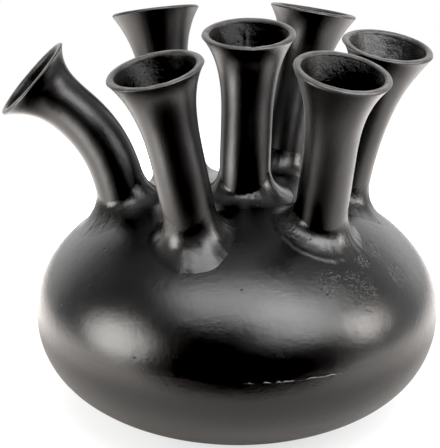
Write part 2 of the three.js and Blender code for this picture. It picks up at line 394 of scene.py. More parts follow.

# %% [markdown]
# ## The casting's finish
#
# The metal is black all over, with a low sheen: a dark lacquer over cast metal. Most of what the eye sees is
# reflection, so the finish is made of small differences in slope and in gloss. Fine grain comes from the
# casting sand, soft mottling from handling, and small pits are gas holes with a dull black inside. One
# function makes every black finish, and each piece's own roughness is its argument. A tint turns the colour
# towards a grey where a piece says so: on the middle of a dressed weld, which is duller, and on the crest of
# the seam, where the light grey is partly wear and partly a painted highlight. In patches on the right of
# the shoulder there are many holes, with a dull black inside.


# %% Metal finishes
black = (0.0011, 0.0010, 0.0010)
worn_black = tuple(1.7 * value for value in black)
dressed_grey = (0.0075, 0.0073, 0.0071)
# light grey of the seam's crest: partly wear, partly a painted highlight
glint_and_wear_grey = (0.15, 0.147, 0.143)
lacquer_index = 1.52  # refractive index
sand_size, sand_height = 0.6 * MM, 0.11 * MM
cast_size = 2.6 * MM
dapple_size = 9 * MM
hole_spacing, hole_depth = 6 * MM, 0.3 * MM


def new_finish(name):
    """An empty material, its tree, and the wire that says where on the object a point is."""
    material = bpy.data.materials.new(name)
    tree = PaintTree(material)
    return material, tree, tree.node("ShaderNodeTexCoord")["Object"]


def pits(tree, place, spacing, share, seed, widest):
    """Round pits, one in each chosen cell: 1 at the middle of a pit and 0 outside. Share is the part of the
    cells that have one, and widest is the radius of the widest, in cells."""
    moved = tree.vector_maths("ADD", place, (seed, seed, seed))
    cells = tree.node("ShaderNodeTexVoronoi", {"Vector": moved, "Scale": 1 / spacing}, feature="F1")
    lot = tree.node("ShaderNodeSeparateColor", {"Color": cells["Color"]})
    width = widest * (0.35 + 0.65 * lot[1])
    return tree.band(cells["Distance"] / width, 1.0, 0.2) * tree.maths("LESS_THAN", lot[0], share)


def casting(tree, place, dapple, cast_height, dapple_height, holes):
    """The relief that all the castings share, in metres."""
    sand = tree.noise(place, sand_size, seed=1.7, detail=1)
    cast = tree.noise(place, cast_size, seed=5.1, detail=2)
    return sand * sand_height + cast * cast_height + dapple * dapple_height - holes * hole_depth


def metal_finish(name, gloss, mottle, patches=(), tint=None):
    """Black lacquered cast metal. Gloss is the mean roughness, and mottle is how far it wanders. In a patch,
    gas holes crowd round a point, between scratches: reach and spacing are in metres, depth in millimetres,
    and lines is the strength of the scratches. A tint is an attribute of the piece, the two values between
    which it sets in, and its colour."""
    material, tree, place = new_finish(name)
    dapple = tree.noise(place, dapple_size, seed=4.2, detail=3)
    cloud = tree.noise(place, 45 * MM, seed=8.8, detail=2)
    holes = pits(tree, place, hole_spacing, 0.05, 0.37, 0.2)
    height = casting(tree, place, dapple, 0.13 * MM, 0.16 * MM, holes)
    hollow = holes * 0.5
    specks = tree.band(tree.noise(place, 2.2 * MM, seed=7.7, detail=2), 0.55, 0.68)
    level_lines = (tree.noise(place, 6 * MM, seed=3.3, detail=2) - 0.5).maths("ABSOLUTE")
    scratches = tree.band(level_lines, 0.045, 0.0)
    for point, reach, spacing, depth, lines in patches:
        ragged = tree.vector_maths("DISTANCE", place, point, out="Value") + (dapple - 0.5) * (16 * MM)
        near = tree.band(ragged, reach, reach * 0.5)
        crowd = pits(tree, place, spacing, 0.7, 0.61, 0.5)
        height = height - (crowd + specks * 0.4 + scratches * lines) * near * (depth * MM)
        hollow = hollow + (crowd + scratches * lines) * near * 0.45

    colour = tree.colour(tree.band(dapple, 0.55, 0.8) * 0.5, black, worn_black)
    if tint:
        attribute, low, high, towards = tint
        colour = tree.colour(tree.band(tree.attribute(attribute), low, high), colour, towards)
    roughness = gloss + (dapple + cloud - 1) * mottle + holes * 0.2
    lacquer = tree.shader("BsdfPrincipled", {
        "Base Color": colour, "Roughness": roughness, "Normal": tree.bump(height), "IOR": lacquer_index})
    # holes, and the scratches in the patches, get a dull black that reflects almost nothing, so they read
    # darker
    bare = tree.shader("BsdfPrincipled", {"Base Color": black, "Roughness": 0.9, "Specular IOR Level": 0.1})
    tree.surface(tree.mixed((hollow * 0.8).held(), lacquer, bare))
    return material


porous = [  # on the right of the shoulder: middle, reach, spacing, depth and lines
    ((0.098, -0.056, 0.147), 0.010, 0.0030, 1.0, 0.4),
    ((0.063, -0.104, 0.139), 0.014, 0.0026, 0.5, 0.0),
    ((0.084, -0.097, 0.131), 0.018, 0.0026, 0.5, 0.0),
    ((0.114, -0.065, 0.130), 0.012, 0.0030, 1.0, 0.4),
    ((0.085, -0.075, 0.146), 0.009, 0.0050, 0.9, 0.3),
]
cast_black = metal_finish("cast_black", 0.255, 0.06, patches=porous)
weld_black = metal_finish("weld_black", 0.265, 0.08, tint=("dressed", 0.0, 1.0, dressed_grey))
# the seam's crest is tinted light grey: partly wear, partly a painted highlight
seam_black = metal_finish("seam_black", 0.255, 0.06, tint=("worn", 0.2, 0.9, glint_and_wear_grey))
print("finishes:", cast_black.name, weld_black.name, seam_black.name)


# %% [markdown]
# The necks share the body's black, but their lips are a dull grey: partly rubbed paint, and partly a painted
# highlight that is strongest on the crest of the lip, which faces the light above. Their bores are left
# rough from the core sand. The trumpet's own shape says where these are: it stores how far each point is
# round onto the lip, and whether it is on the inner wall, and the finish reads both.

# %% Neck finish
# grey of the lips: partly rubbed paint, partly a painted highlight
rub_and_highlight_grey = (0.10, 0.097, 0.094)
neck_hole_radius = 0.24  # of the widest, in cells


def neck_finish(name, core_index):
    """Core index is the refractive index of the inner wall: the nearer to 1, the duller."""
    material, tree, place = new_finish(name)
    lip = tree.attribute("lip")
    inner = tree.attribute("inner")
    coarse = tree.noise(place, 3.5 * MM, seed=2.9, detail=4, roughness=0.65)
    dapple = tree.noise(place, dapple_size, seed=4.2, detail=3)
    holes = pits(tree, place, hole_spacing, 0.04, 0.37, neck_hole_radius)
    core_holes = pits(tree, place, 4 * MM, 0.35, 0.9, neck_hole_radius)
    core = inner * (coarse * (0.6 * MM) - core_holes * (0.4 * MM)) + lip * coarse * (0.2 * MM)
    height = casting(tree, place, dapple, 0.08 * MM, 0.18 * MM, holes) + core

    # lighter grey towards the crest of the lip: rubbed paint and a painted highlight
    rub_and_highlight = lip ** 0.7 * (0.55 + 0.6 * tree.band(dapple + coarse * 0.4, 0.5, 0.9))
    bare = inner * tree.band(coarse, 0.55, 0.75) * 0.04
    roughness = 0.33 + (dapple - 0.5) * 0.08 + lip * 0.05 + inner * (coarse - 0.45) * 0.15
    inputs = {"Base Color": tree.colour((rub_and_highlight + bare).held(), black, rub_and_highlight_grey),
              "Roughness": roughness, "Normal": tree.bump(height)}
    wall = tree.shader("BsdfPrincipled", {**inputs, "IOR": lacquer_index})
    core = tree.shader("BsdfPrincipled", {**inputs, "IOR": core_index})
    tree.surface(tree.mixed((inner - lip).held(), wall, core))
    return material


neck_black = neck_finish("neck_black", 1.28)
right_neck_black = neck_finish("right_neck_black", 1.5)
print("finishes:", neck_black.name, right_neck_black.name)

# %% [markdown]
# ## The trumpet neck as a geometry tree
#
# A neck could be spun in a modelling tool and bent by hand, but all seven follow one rule, so the rule is
# the model. The tree starts with a flat grid. Its first direction goes round the pipe. Its second goes up
# the outer wall, over the lip and down the bore. Formulas turn those two numbers into a radius and a
# distance along the neck, and `Sample Curve` bends the straight trumpet along its centreline. Sizes are
# named inputs. Seeded noise along the surface normal gives the small unevenness of a casting.

# %% Trumpet tree
neck_sides = 144
rows_each_way = 88  # rows from the root to the middle of the lip
lip_share = 0.09  # part of those rows on the lip
row_crowding = 1.35  # above 1, rows crowd towards the mouth
ridge_spread = 0.055  # radians round the bore
notch_spread = 0.06
lip_clear = 12 * MM  # the outer lumps fade out over this length below the lip
foot_clear = (24 * MM, 42 * MM)  # and between these heights above the foot
ridge_top, ridge_foot = (2 * MM, 8 * MM), (75 * MM, 40 * MM)  # below the lip: none, and all of it


def trumpet_tree():
    tree = ShapeTree("trumpet_neck", [
        "Centreline", "Stem radius", "Bore radius", "Mouth radius", "Lip width", "Lip rounding",
        "Flare length", "Flare sharpness", "Sunk root", "Seed", "Outer lumps", "Core lumps",
        "Lip wobble", "Ridge height", "Ridge turn", "Notch depth", "Notch turn", "Finish"])
    given = tree.given
    counts = {"Vertices X": neck_sides + 1, "Vertices Y": 2 * rows_each_way + 1}
    shape = tree.node("GeometryNodeMeshGrid", {"Size X": 1.0, "Size Y": 1.0, **counts})["Mesh"]
    place = tree.parts(tree.here())
    turn = (place["X"] + 0.5) * TURN
    outer = tree.maths("LESS_THAN", place["Y"], 0.0)
    inner = 1 - outer
    fold = 1 - (place["Y"] * 2).maths("ABSOLUTE")  # 0 at both roots, 1 on the middle of the lip

    first_row = 1 / rows_each_way
    climb = ((fold - first_row) / (1 - first_row - lip_share)).held()
    over_lip = ((fold - (1 - lip_share)) / lip_share).held()
    closing = (fold * rows_each_way).held()

    line = tree.node("GeometryNodeObjectInfo", {"Object": given["Centreline"]}, transform_space="ORIGINAL")
    length = tree.node("GeometryNodeCurveLength", {"Curve": line["Geometry"]})["Length"]
    wall_top = length - given["Lip rounding"]
    below = (wall_top + given["Sunk root"]) * (1 - climb) ** row_crowding
    opening = (1 - (below / given["Flare length"]).held()) ** given["Flare sharpness"]

    corner = (over_lip * 2).held() * (math.pi / 2)
    flat = (over_lip * 2 - 1).held()
    inward = (given["Lip rounding"] * (1 - corner.maths("COSINE"))
              + (given["Lip width"] * 0.5 - given["Lip rounding"]) * flat)
    stem = outer * given["Stem radius"] + inner * given["Bore radius"]
    rim = given["Mouth radius"] - inner * given["Lip width"]
    radius = stem + (rim - stem) * opening + (inner - outer) * inward
    middle = (given["Stem radius"] + given["Bore radius"]) * 0.5
    radius = middle + (radius - middle) * closing
    along = wall_top - below + given["Lip rounding"] * corner.maths("SINE")

    held_along = along.maths("MINIMUM", length).maths("MAXIMUM", 0.0)
    inputs = {"Curves": line["Geometry"], "Length": held_along}
    on_line = tree.node("GeometryNodeSampleCurve", inputs, mode="LENGTH")
    tangent = tree.vector_maths("NORMALIZE", on_line["Tangent"])
    leaned = tree.scaled(tangent, tree.parts(tangent)["X"])
    across = tree.vector_maths("NORMALIZE", tree.vector_maths("SUBTRACT", (1.0, 0.0, 0.0), leaned))
    behind = tree.vector_maths("CROSS_PRODUCT", tangent, across)
    point = on_line["Position"]
    for direction, step in ((tangent, along - held_along), (across, radius * turn.maths("COSINE")),
                            (behind, radius * turn.maths("SINE"))):
        point = tree.vector_maths("ADD", point, tree.scaled(direction, step))

    for label, value in (("inner", inner), ("lip", over_lip), ("below", below), ("turn", turn)):
        shape = tree.stored(shape, label, value)
    bent = tree.node("GeometryNodeSetPosition", {"Geometry": shape, "Position": point})["Geometry"]
    closed = tree.node("GeometryNodeMergeByDistance", {"Geometry": bent, "Distance": 0.01 * MM})["Geometry"]

    here = tree.here()
    below, turn = tree.read("below"), tree.read("turn")
    broad, close, rough = [
        tree.noise(here, size, seed=given["Seed"], detail=detail) - 0.5
        for size, detail in ((30 * MM, 1), (7 * MM, 2), (4 * MM, 3))]
    clear = tree.band(below, 0.0, lip_clear) * tree.band(wall_top - below, *foot_clear)
    outside = (broad * 2 + close * 0.5) * given["Outer lumps"] * clear
    core = (broad + close * 2 + rough) * given["Core lumps"]
    ridge = ((turn - given["Ridge turn"]) / ridge_spread).bell() * given["Ridge height"]
    ridge = ridge * (0.6 + close * 1.5) * tree.band(below, *ridge_top) * tree.band(below, *ridge_foot)
    wavy = (tree.noise(here, 12 * MM, seed=given["Seed"] + 7.0, detail=2) - 0.65) * given["Lip wobble"] * 2
    notch = ((turn - given["Notch turn"]) / notch_spread).bell() * given["Notch depth"]
    lift = outside + tree.read("inner") * (core + ridge) + tree.read("lip") * (wavy - notch)
    uneven = tree.moved(closed, tree.scaled(tree.node("GeometryNodeInputNormal")["Normal"], lift))
    tree.finish(tree.node("GeometryNodeSetShadeSmooth", {"Geometry": uneven})["Geometry"])
    return tree


trumpet = trumpet_tree()
print("trumpet tree:", len(trumpet.tree.nodes), "nodes")

# %% [markdown]
# ## Making the seven necks
#
# Each neck's centreline goes in as a Bezier curve. The straight root is sunk into the shoulder and then cut
# by a block with the shoulder's own curve, a hair larger, so that the foot is a true saddle that sits on
# the body. The neck in the middle also has a flash line down its bore, where two halves of its core met,
# and a small nick in the front of its lip.


# %% Helpers for cutting
def mesh_object(name, points, faces):
    mesh = bpy.data.meshes.new(name)
    mesh.from_pydata([tuple(p) for p in points], [], faces)
    mesh.shade_smooth()
    return link(bpy.data.objects.new(name, mesh))


def lofted(name, rows, closed=False):
    """A solid over rows of points that run round it. A row of one point is an end, and a closed solid joins
    its last row to its first."""
    points, places = [], []
    for row in rows:
        places.append(range(len(points), len(points) + len(row)))
        points.extend(row)
    faces = []
    for low, high in list(zip(places, places[1:])) + [(places[-1], places[0])] * closed:
        for i in range(max(len(low), len(high))):
            j = (i + 1) % max(len(low), len(high))
            if len(low) == 1:
                faces.append((low[0], high[j], high[i]))
            elif len(high) == 1:
                faces.append((low[i], low[j], high[0]))
            else:
                faces.append((low[i], low[j], high[j], high[i]))
    return mesh_object(name, points, faces)


def turned(name, section, turns):
    """A solid of revolution. The section is a list of (radius, height) that runs anticlockwise, and starts
    and ends on the axis or closes on itself."""
    rows = []
    for radius, height in section:
        angles = [TURN * i / turns for i in range(turns if radius > 0 else 1)]
        rows.append([(radius * math.cos(angle), radius * math.sin(angle), height) for angle in angles])
    return lofted(name, rows, closed=section[0][0] > 0)


def cut(piece, cutter):
    """Take the cutter's solid out of the piece. The new faces get the piece's own finish."""
    modifier = piece.modifiers.new("cut", "BOOLEAN")
    modifier.operation = "DIFFERENCE"
    modifier.solver = "EXACT"
    modifier.object = cutter
    evaluated = piece.evaluated_get(bpy.context.evaluated_depsgraph_get())
    result = bpy.data.meshes.new_from_object(evaluated)
    finish = [material for material in result.materials if material][0]
    result.materials.clear()
    result.materials.append(finish)
    result.polygons.foreach_set("material_index", [0] * len(result.polygons))
    piece.modifiers.clear()
    piece.data = result


def soften(piece, limit):
    """Smooth shading, with edges sharper than the limit in degrees kept crisp."""
    piece.data.shade_smooth()
    piece.data.set_sharp_from_angle(angle=math.radians(limit))


def quarter(fullness, start, end, count):
    """Points of a superellipse as shares of its half axes, between two turns from 0 to a quarter circle."""
    turns = np.linspace(start, end, count)
    return np.cos(turns) ** (2 / fullness), np.sin(turns) ** (2 / fullness)


def shoulder_section(offset, count):
    """The shoulder's curve from the widest circle in to the crown."""
    across, up = quarter(shoulder_fullness, 0, math.pi / 2, count)
    radii = (body_radius + offset) * across
    radii[-1] = 0
    return list(zip(radii, equator + (shoulder_rise + offset) * up))


block_section = [(0, 0.0), (body_radius + casting_gap, 0.0)] + shoulder_section(casting_gap, 90)
shoulder_block = turned("shoulder_block", block_section, 180)
print("shoulder block:", len(shoulder_block.data.polygons), "faces")

# %% Grow the necks
root_sink = neck_radius + shell_wall
neck_values = {
    "Stem radius": neck_radius, "Bore radius": bore_radius, "Mouth radius": mouth_radius,
    "Lip width": lip_width, "Lip rounding": lip_rounding, "Flare sharpness": flare_sharpness,
    "Sunk root": root_sink, "Outer lumps": 0.16 * MM, "Core lumps": 0.35 * MM, "Lip wobble": 0.32 * MM}
centre_marks = {"Ridge height": 1.1 * MM, "Ridge turn": 1.65, "Notch depth": 1.6 * MM, "Notch turn": 4.8}


def centreline_object(name, line):
    curve = bpy.data.curves.new(name, "CURVE")
    curve.dimensions = "3D"
    curve.resolution_u = 64
    spline = curve.splines.new("BEZIER")
    spline.bezier_points.add(1)
    foot, from_root, to_mouth, mouth = [Vector(p) for p in line.controls]
    first, last = spline.bezier_points
    for point in (first, last):
        point.handle_left_type = point.handle_right_type = "FREE"
    first.co, first.handle_right, first.handle_left = foot, from_root, 2 * foot - from_root
    last.co, last.handle_left, last.handle_right = mouth, to_mouth, 2 * mouth - to_mouth
    return link(bpy.data.objects.new(name, curve))


necks = {}
for number, (name, line) in enumerate(lines.items()):
    guide = centreline_object(name + "_guide", line)
    necks[name] = grown(name + "_fine", trumpet, {
        **neck_values, **(centre_marks if name == "neck_centre" else {}),
        "Centreline": guide, "Flare length": flare_length * flare_shares.get(name, 1),
        "Seed": 3.1 * number, "Finish": right_neck_black if name == "neck_right" else neck_black})
    cut(necks[name], shoulder_block)
    soften(necks[name], 50)
    bpy.data.objects.remove(guide)
    print(name, len(necks[name].data.polygons), "faces")

# %% [markdown]
# ## The two body shells
#
# The body is two castings that meet at the widest circle. Each is its section turned about the axis, with a
# real wall. A small tree then moves the surface in and out by a fraction of a millimetre, since the long
# soft highlights of a hand-finished casting are never quite regular. It moves each point away from the
# middle of the body, so that a weld that lands on the shoulder can be moved along with it. The holes under
# the necks are cut with round bars bent along the same centrelines, so that water and stems can pass.

# %% Skin tree
def skin_tree():
    tree = ShapeTree("cast_skin", [
        "Geometry", "Swell", "Ripple", "Level", "Calm", "Foot level", "Half width", "Half height", "Finish"])
    given = tree.given
    here = tree.here()
    swell = (tree.noise(here, 48 * MM, seed=6.3, detail=1) - 0.5) * given["Swell"]
    ripple = (tree.noise(here, 12 * MM, seed=2.6, detail=2) - 0.5) * given["Ripple"]
    height = tree.parts(here)["Z"]
    free = tree.band((height - given["Level"]).maths("ABSOLUTE"), 0.0, given["Calm"])
    free = free * tree.band(height - given["Foot level"], 1 * MM, 12 * MM) * (1 - tree.read("on_neck"))
    from_middle = tree.vector_maths("SUBTRACT", here, tree.combined(0.0, 0.0, given["Level"]))
    stretch = tree.combined(1.0, 1.0, (given["Half width"] / given["Half height"]) ** 2)
    outward = tree.vector_maths("NORMALIZE", tree.vector_maths("MULTIPLY", from_middle, stretch))
    tree.finish(tree.moved(given["Geometry"], tree.scaled(outward, (swell + ripple) * free)))
    return tree


skin = skin_tree()
skin_values = {"Swell": 0.7 * MM, "Ripple": 0.18 * MM, "Level": equator, "Calm": 16 * MM,
               "Foot level": foot_level, "Half width": body_radius}


def dressed(piece, name, half_height, finish):
    """The piece with the casting's uneven skin and its finish."""
    mesh = piece.data
    bpy.data.objects.remove(piece)
    return grown(name, skin, {**skin_values, "Half height": half_height, "Finish": finish}, mesh)


print("skin tree:", len(skin.tree.nodes), "nodes")


# %% Lower shell
seam_bed = body_radius - seam_depth
seam_half = seam_width / 2
skin_radius = body_radius - skin_inset


def belly_section(offset, cut_level, count):
    """The belly's curve from the widest circle down to a level."""
    depth = belly_depth + offset
    end = math.asin(((equator - cut_level) / depth) ** (belly_fullness / 2))
    across, down = quarter(belly_fullness, 0, end, count)
    return list(zip((body_radius - skin_inset + offset) * across, equator - depth * down))


def arc(centre, radius, start, end, count):
    """Points on an arc of a circle, with angles in degrees."""
    angles = [math.radians(start + (end - start) * i / (count - 1)) for i in range(count)]
    return [(centre[0] + radius * math.cos(a), centre[1] + radius * math.sin(a)) for a in angles]


outer = belly_section(0, foot_level + foot_rounding, 110)[::-1]
outer = [point for point in outer if point[1] < equator - seam_half]
foot_edge = arc((outer[0][0] - foot_rounding, foot_level + foot_rounding), foot_rounding, -90, -5, 7)
inner = belly_section(-shell_wall, foot_level + floor_thickness, 46)
recess_radius = pad_radius + pad_side_clearance
recess_top = pad_high[2]
lower_section = (
    [(0, recess_top), (recess_radius, recess_top), (recess_radius, foot_level)] + foot_edge + outer
    + [(skin_radius, equator - seam_half), (seam_bed, equator - seam_half), (seam_bed, equator)]
    + inner + [(0, foot_level + floor_thickness)])
lower_shell = turned("lower_section", lower_section, 360)
lower_shell = dressed(lower_shell, "body_lower_shell_fine", belly_depth, cast_black)
soften(lower_shell, 30)
print("lower shell:", len(lower_shell.data.polygons), "faces")

# %% Upper shell
outer = [point for point in shoulder_section(-skin_inset, 130) if point[1] > equator + seam_half]
inner = shoulder_section(-shell_wall, 44)[::-1]
seam_step = [(seam_bed, equator), (seam_bed, equator + seam_half), (skin_radius, equator + seam_half)]
upper_section = inner + seam_step + outer
upper_shell = turned("upper_section", upper_section, 400)
upper_shell = dressed(upper_shell, "body_upper_shell_fine", shoulder_rise, cast_black)


def bore_bar(name, line, sides=96, rows=12):
    """A solid bar as thick as the bore, bent along a centreline, through the shoulder and into the neck."""
    angles = np.arange(sides) * TURN / sides
    side, back = bore_radius * np.cos(angles), bore_radius * np.sin(angles)
    places = np.linspace(-bore_radius - 2 * shell_wall, bore_radius, rows)
    ends = [[line.beside(0, 0, along)] for along in (places[0], places[-1])]
    rings = [line.beside(side, back, along) for along in places]
    return lofted(name, [ends[0], *rings, ends[1]])


for name, line in lines.items():
    bore = bore_bar(name + "_bore", line)
    cut(upper_shell, bore)
    bpy.data.objects.remove(bore)
soften(upper_shell, 30)
print("upper shell:", len(upper_shell.data.polygons), "faces")

# %% [markdown]
# ## Foot fillets
#
# Every neck was welded to the shoulder and the weld was dressed by hand, so no two feet are the same. The
# section of a fillet is one cubic curve. It leaves the neck's wall at a height, straight down the wall, and
# lands on the shoulder at a reach. Its two inner points say how the metal turns: near the corner they make a
# round hollow, and further away a cone. Where the second stands off the shoulder, the fillet ends in a skirt
# with a crisp edge, which catches the light. These lengths change round the neck: 0 degrees is to the right,
# 90 behind, 180 to the left and 270 in front.

# %% Fillet plan
# shape, for each direction: height, reach and skirt height in millimetres
# inner: how high on the neck, and how far out, the two inner points stand, as shares of height and reach,
# if not the usual shares
# chips and rim: strength in millimetres, and the directions between which they lie
fillet_plan = {
    "neck_centre": {
        "shape": {0: (22, 18, 1), 60: (20, 15, 0.5), 120: (20, 14, 0.5), 180: (20, 14, 0.5),
                  215: (9, 12, 0.5), 240: (6, 12, 0.7), 285: (6, 12, 0.7), 310: (11, 15, 1),
                  335: (19, 18, 1)},
        "inner": (0.38, 0.38), "chips": (0.05, 290, 340)},
    "neck_right": {
        "shape": {0: (24, 20, 0.5), 90: (22, 16, 0), 180: (22, 16, 0.5), 240: (16, 15, 1.5),
                  270: (15, 16, 2), 290: (16, 16, 1.5), 310: (21, 18, 0.5), 335: (24, 20, 0.5)},
        "chips": (0.10, 255, 300)},
    "neck_back_right": {
        "shape": {0: (24, 17, 0.5), 90: (22, 16, 0), 180: (24, 17, 0.5), 270: (20, 17, 1)},
        "chips": (0.05, 230, 300)},
    "neck_back_left": {
        "shape": {0: (24, 17, 0.5), 90: (22, 16, 0), 180: (26, 18, 0.5), 270: (22, 18, 1)},
        "chips": (0.05, 230, 300), "rim": (0.3, 200, 240)},
    "neck_left": {
        "shape": {0: (20, 17, 1), 90: (22, 16, 0), 180: (24, 21, 0), 215: (15, 22, 0), 240: (12, 22, 0),
                  262: (11, 21, 0.5), 280: (11, 21, 0.7), 310: (14, 19, 1)},
        "inner": (0.42, 0.38), "chips": (0.14, 218, 250)},
    "neck_front_left": {
        "shape": {0: (28, 12, 1), 90: (24, 16, 0), 160: (24, 14, 0), 205: (24, 14, 0), 228: (21, 14.5, 2),
                  246: (18, 17, 4), 264: (16, 19, 4.6), 290: (18, 19, 4.4), 312: (24, 17, 3),
                  332: (30, 14, 1.5)},
        "inner": (0.27, 0.23), "chips": (0.03, 260, 330)},
    "neck_front_right": {
        "shape": {0: (24, 14, 1), 90: (22, 16, 0), 170: (19, 17, 0), 205: (13, 18, 0), 240: (11, 18, 0),
                  270: (11, 17.5, 0), 292: (12, 16.5, 0), 320: (18, 14.5, 0.7)},
        "inner": (0.42, 0.34), "chips": (0.25, 192, 225), "rim": (0.6, 205, 300)},
}
usual_inner = (0.25, 0.25)
fillet_sections = 240
fillet_steps = 40
fillet_bite = 0.05 * MM  # how far each edge of the fillet bites into the metal beside it
fillet_depth = 0.9 * MM  # how far its hidden corner lies inside the metal
wander_share = 0.12  # how much the reach wanders round the neck, as a share of itself
edge_wobble = 1.3 * MM
lumps = ((12 * MM, 0.15 * MM, 0), (5 * MM, 0.07 * MM, 9))  # size, height, and what is added to the seed
chip_size = 2.6 * MM
least_chips = 0.012 * MM
rim_width = 2 * MM
rim_from_edge = 4 * MM
print("fillets planned in", sum(len(plan["shape"]) for plan in fillet_plan.values()), "directions")


# %% Fillet sections
def shoulder_contact(line, angles):
    """How far along the neck its wall meets the shoulder, at each angle."""
    low = np.full(len(angles), -root_sink)
    high = np.full(len(angles), root_sink)
    side, back = neck_radius * np.cos(angles), neck_radius * np.sin(angles)
    for _ in range(30):
        middle = (low + high) / 2
        point = line.beside(side, back, middle)
        above = point[:, 2] > shoulder_height(np.hypot(point[:, 0], point[:, 1]))
        high = np.where(above, middle, high)
        low = np.where(above, low, middle)
    return (low + high) / 2


def round_the_neck(table, angles, column):
    """One column of a fillet's shape at each angle, blended softly between the given directions."""
    degrees = sorted(table)
    values = np.interp(np.degrees(angles), degrees, [table[d][column] for d in degrees], period=360)
    width = fillet_sections // 20
    kernel = np.hanning(2 * width + 1)
    wrapped = np.concatenate([values[-width:], values, values[:width]])
    return np.convolve(wrapped, kernel / kernel.sum(), "valid") * MM


def between(angles, strength, low, high, edge=12):
    """The strength, in millimetres, between two directions in degrees, fading to 0 over the edge."""
    degrees = np.degrees(angles)
    fading = np.clip((degrees - low + edge) / edge, 0, 1) * np.clip((high + edge - degrees) / edge, 0, 1)
    return strength * MM * fading


def wander(angles, busyness, start):
    """Smooth noise round the neck, about -1 to 1."""
    return np.array([noise.noise(Vector((math.cos(a), math.sin(a), 0)) * busyness + start) for a in angles])


def lumpiness(points, size, seed):
    return np.array([noise.fractal(Vector(p) / size + Vector((seed, 0, 0)), 1.0, 2.0, 3) for p in points])


def fillet(name, line, plan, seed):
    angles = np.arange(fillet_sections) * TURN / fillet_sections
    cosine, sine = np.cos(angles), np.sin(angles)
    height, reach, skirt = [round_the_neck(plan["shape"], angles, i) for i in range(3)]
    fall, corner = plan.get("inner", usual_inner)
    reach = reach * (1 + wander_share * wander(angles, 1.2, Vector((seed, 3, 0))))
    reach += edge_wobble * wander(angles, 6, Vector((seed, 7, 0)))
    chips = between(angles, *plan["chips"])
    rim = between(angles, *plan.get("rim", (0, 0, 0)))
    contact = shoulder_contact(line, angles)
    meeting = line.beside(neck_radius * cosine, neck_radius * sine, contact)
    outward = line.beside(2 * neck_radius * cosine, 2 * neck_radius * sine, contact) - meeting
    outward = unit(outward * (1, 1, 0))
    away = unit(outward + (0, 0, 1))

    def section_point(up, out, bite):
        """A step up the neck added to a step out over the shoulder, both in metres."""
        wall = neck_radius - bite
        start = line.beside(wall * cosine, wall * sine, contact)
        on_neck = line.beside(wall * cosine, wall * sine, contact + up)
        landing = meeting + outward * out[:, None]
        landing[:, 2] = shoulder_height(np.hypot(landing[:, 0], landing[:, 1]), skin_inset) - bite
        landing[:, :2] -= outward[:, :2] * bite
        return landing + on_neck - start

    rows, on_neck, dull = [], [], []
    for share in np.linspace(0, 1, fillet_steps + 1):
        rest = 1 - share
        up = (rest**3 + 3 * fall * rest**2 * share) * height + 3 * rest * share**2 * skirt
        out = (share**3 + 3 * corner * rest * share**2) * reach + 3 * rest * share**2 * skirt
        on_neck.append(float(np.clip(1.2 - 1.5 * share, 0, 1)))
        dull.append(max(0, 1 - (2.4 * share - 1.2) ** 2))
        row = section_point(up, out, fillet_bite * abs(2 * share - 1) ** 6)
        uneven = sum(lumpiness(row, size, seed + more) * lump for size, lump, more in lumps)
        uneven = uneven + lumpiness(row, chip_size, seed) * (chips + least_chips)
        crest = rim * np.exp(-(((reach - rim_from_edge - out) / rim_width) ** 2))
        window = min(1, 4 * share) * min(1, 6 * (1 - share))
        rows.append(row + away * (uneven * window + crest)[:, None])
    for up, out in ((0, 0.6), (0, 0), (0.6, 0)):
        rows.append(section_point(height * up, reach * out, fillet_depth))
        on_neck.append(0.5)
        dull.append(0)
    piece = lofted(name + "_plain", rows[::-1], closed=True)
    for label, values in (("on_neck", on_neck), ("dressed", dull)):
        stored = piece.data.attributes.new(label, "FLOAT", "POINT")
        stored.data.foreach_set("value", np.repeat(values[::-1], fillet_sections))
    return dressed(piece, name, shoulder_rise, weld_black)


# %% Make the fillets
fillets = {}
for number, (name, line) in enumerate(lines.items()):
    label = name.replace("neck", "weld")
    fillets[label] = fillet(label + "_fine", line, fillet_plan[name], 5.0 * number)
    soften(fillets[label], 60)
print(len(fillets), "fillets of", len(fillets["weld_centre"].data.polygons), "faces")

# %% [markdown]
# ## The seam at the widest circle
#
# The two shells are welded at the widest circle and the weld is ground flush, so it can only be seen where a
# thin broken line of it still catches the light, on the right of the front. There its crest stands a little
# proud and is painted a light grey, which is partly wear and partly a painted highlight. It follows a path,
# so
# it is a geometry tree: a circle, moved a little by noise, with a small section swept along it.

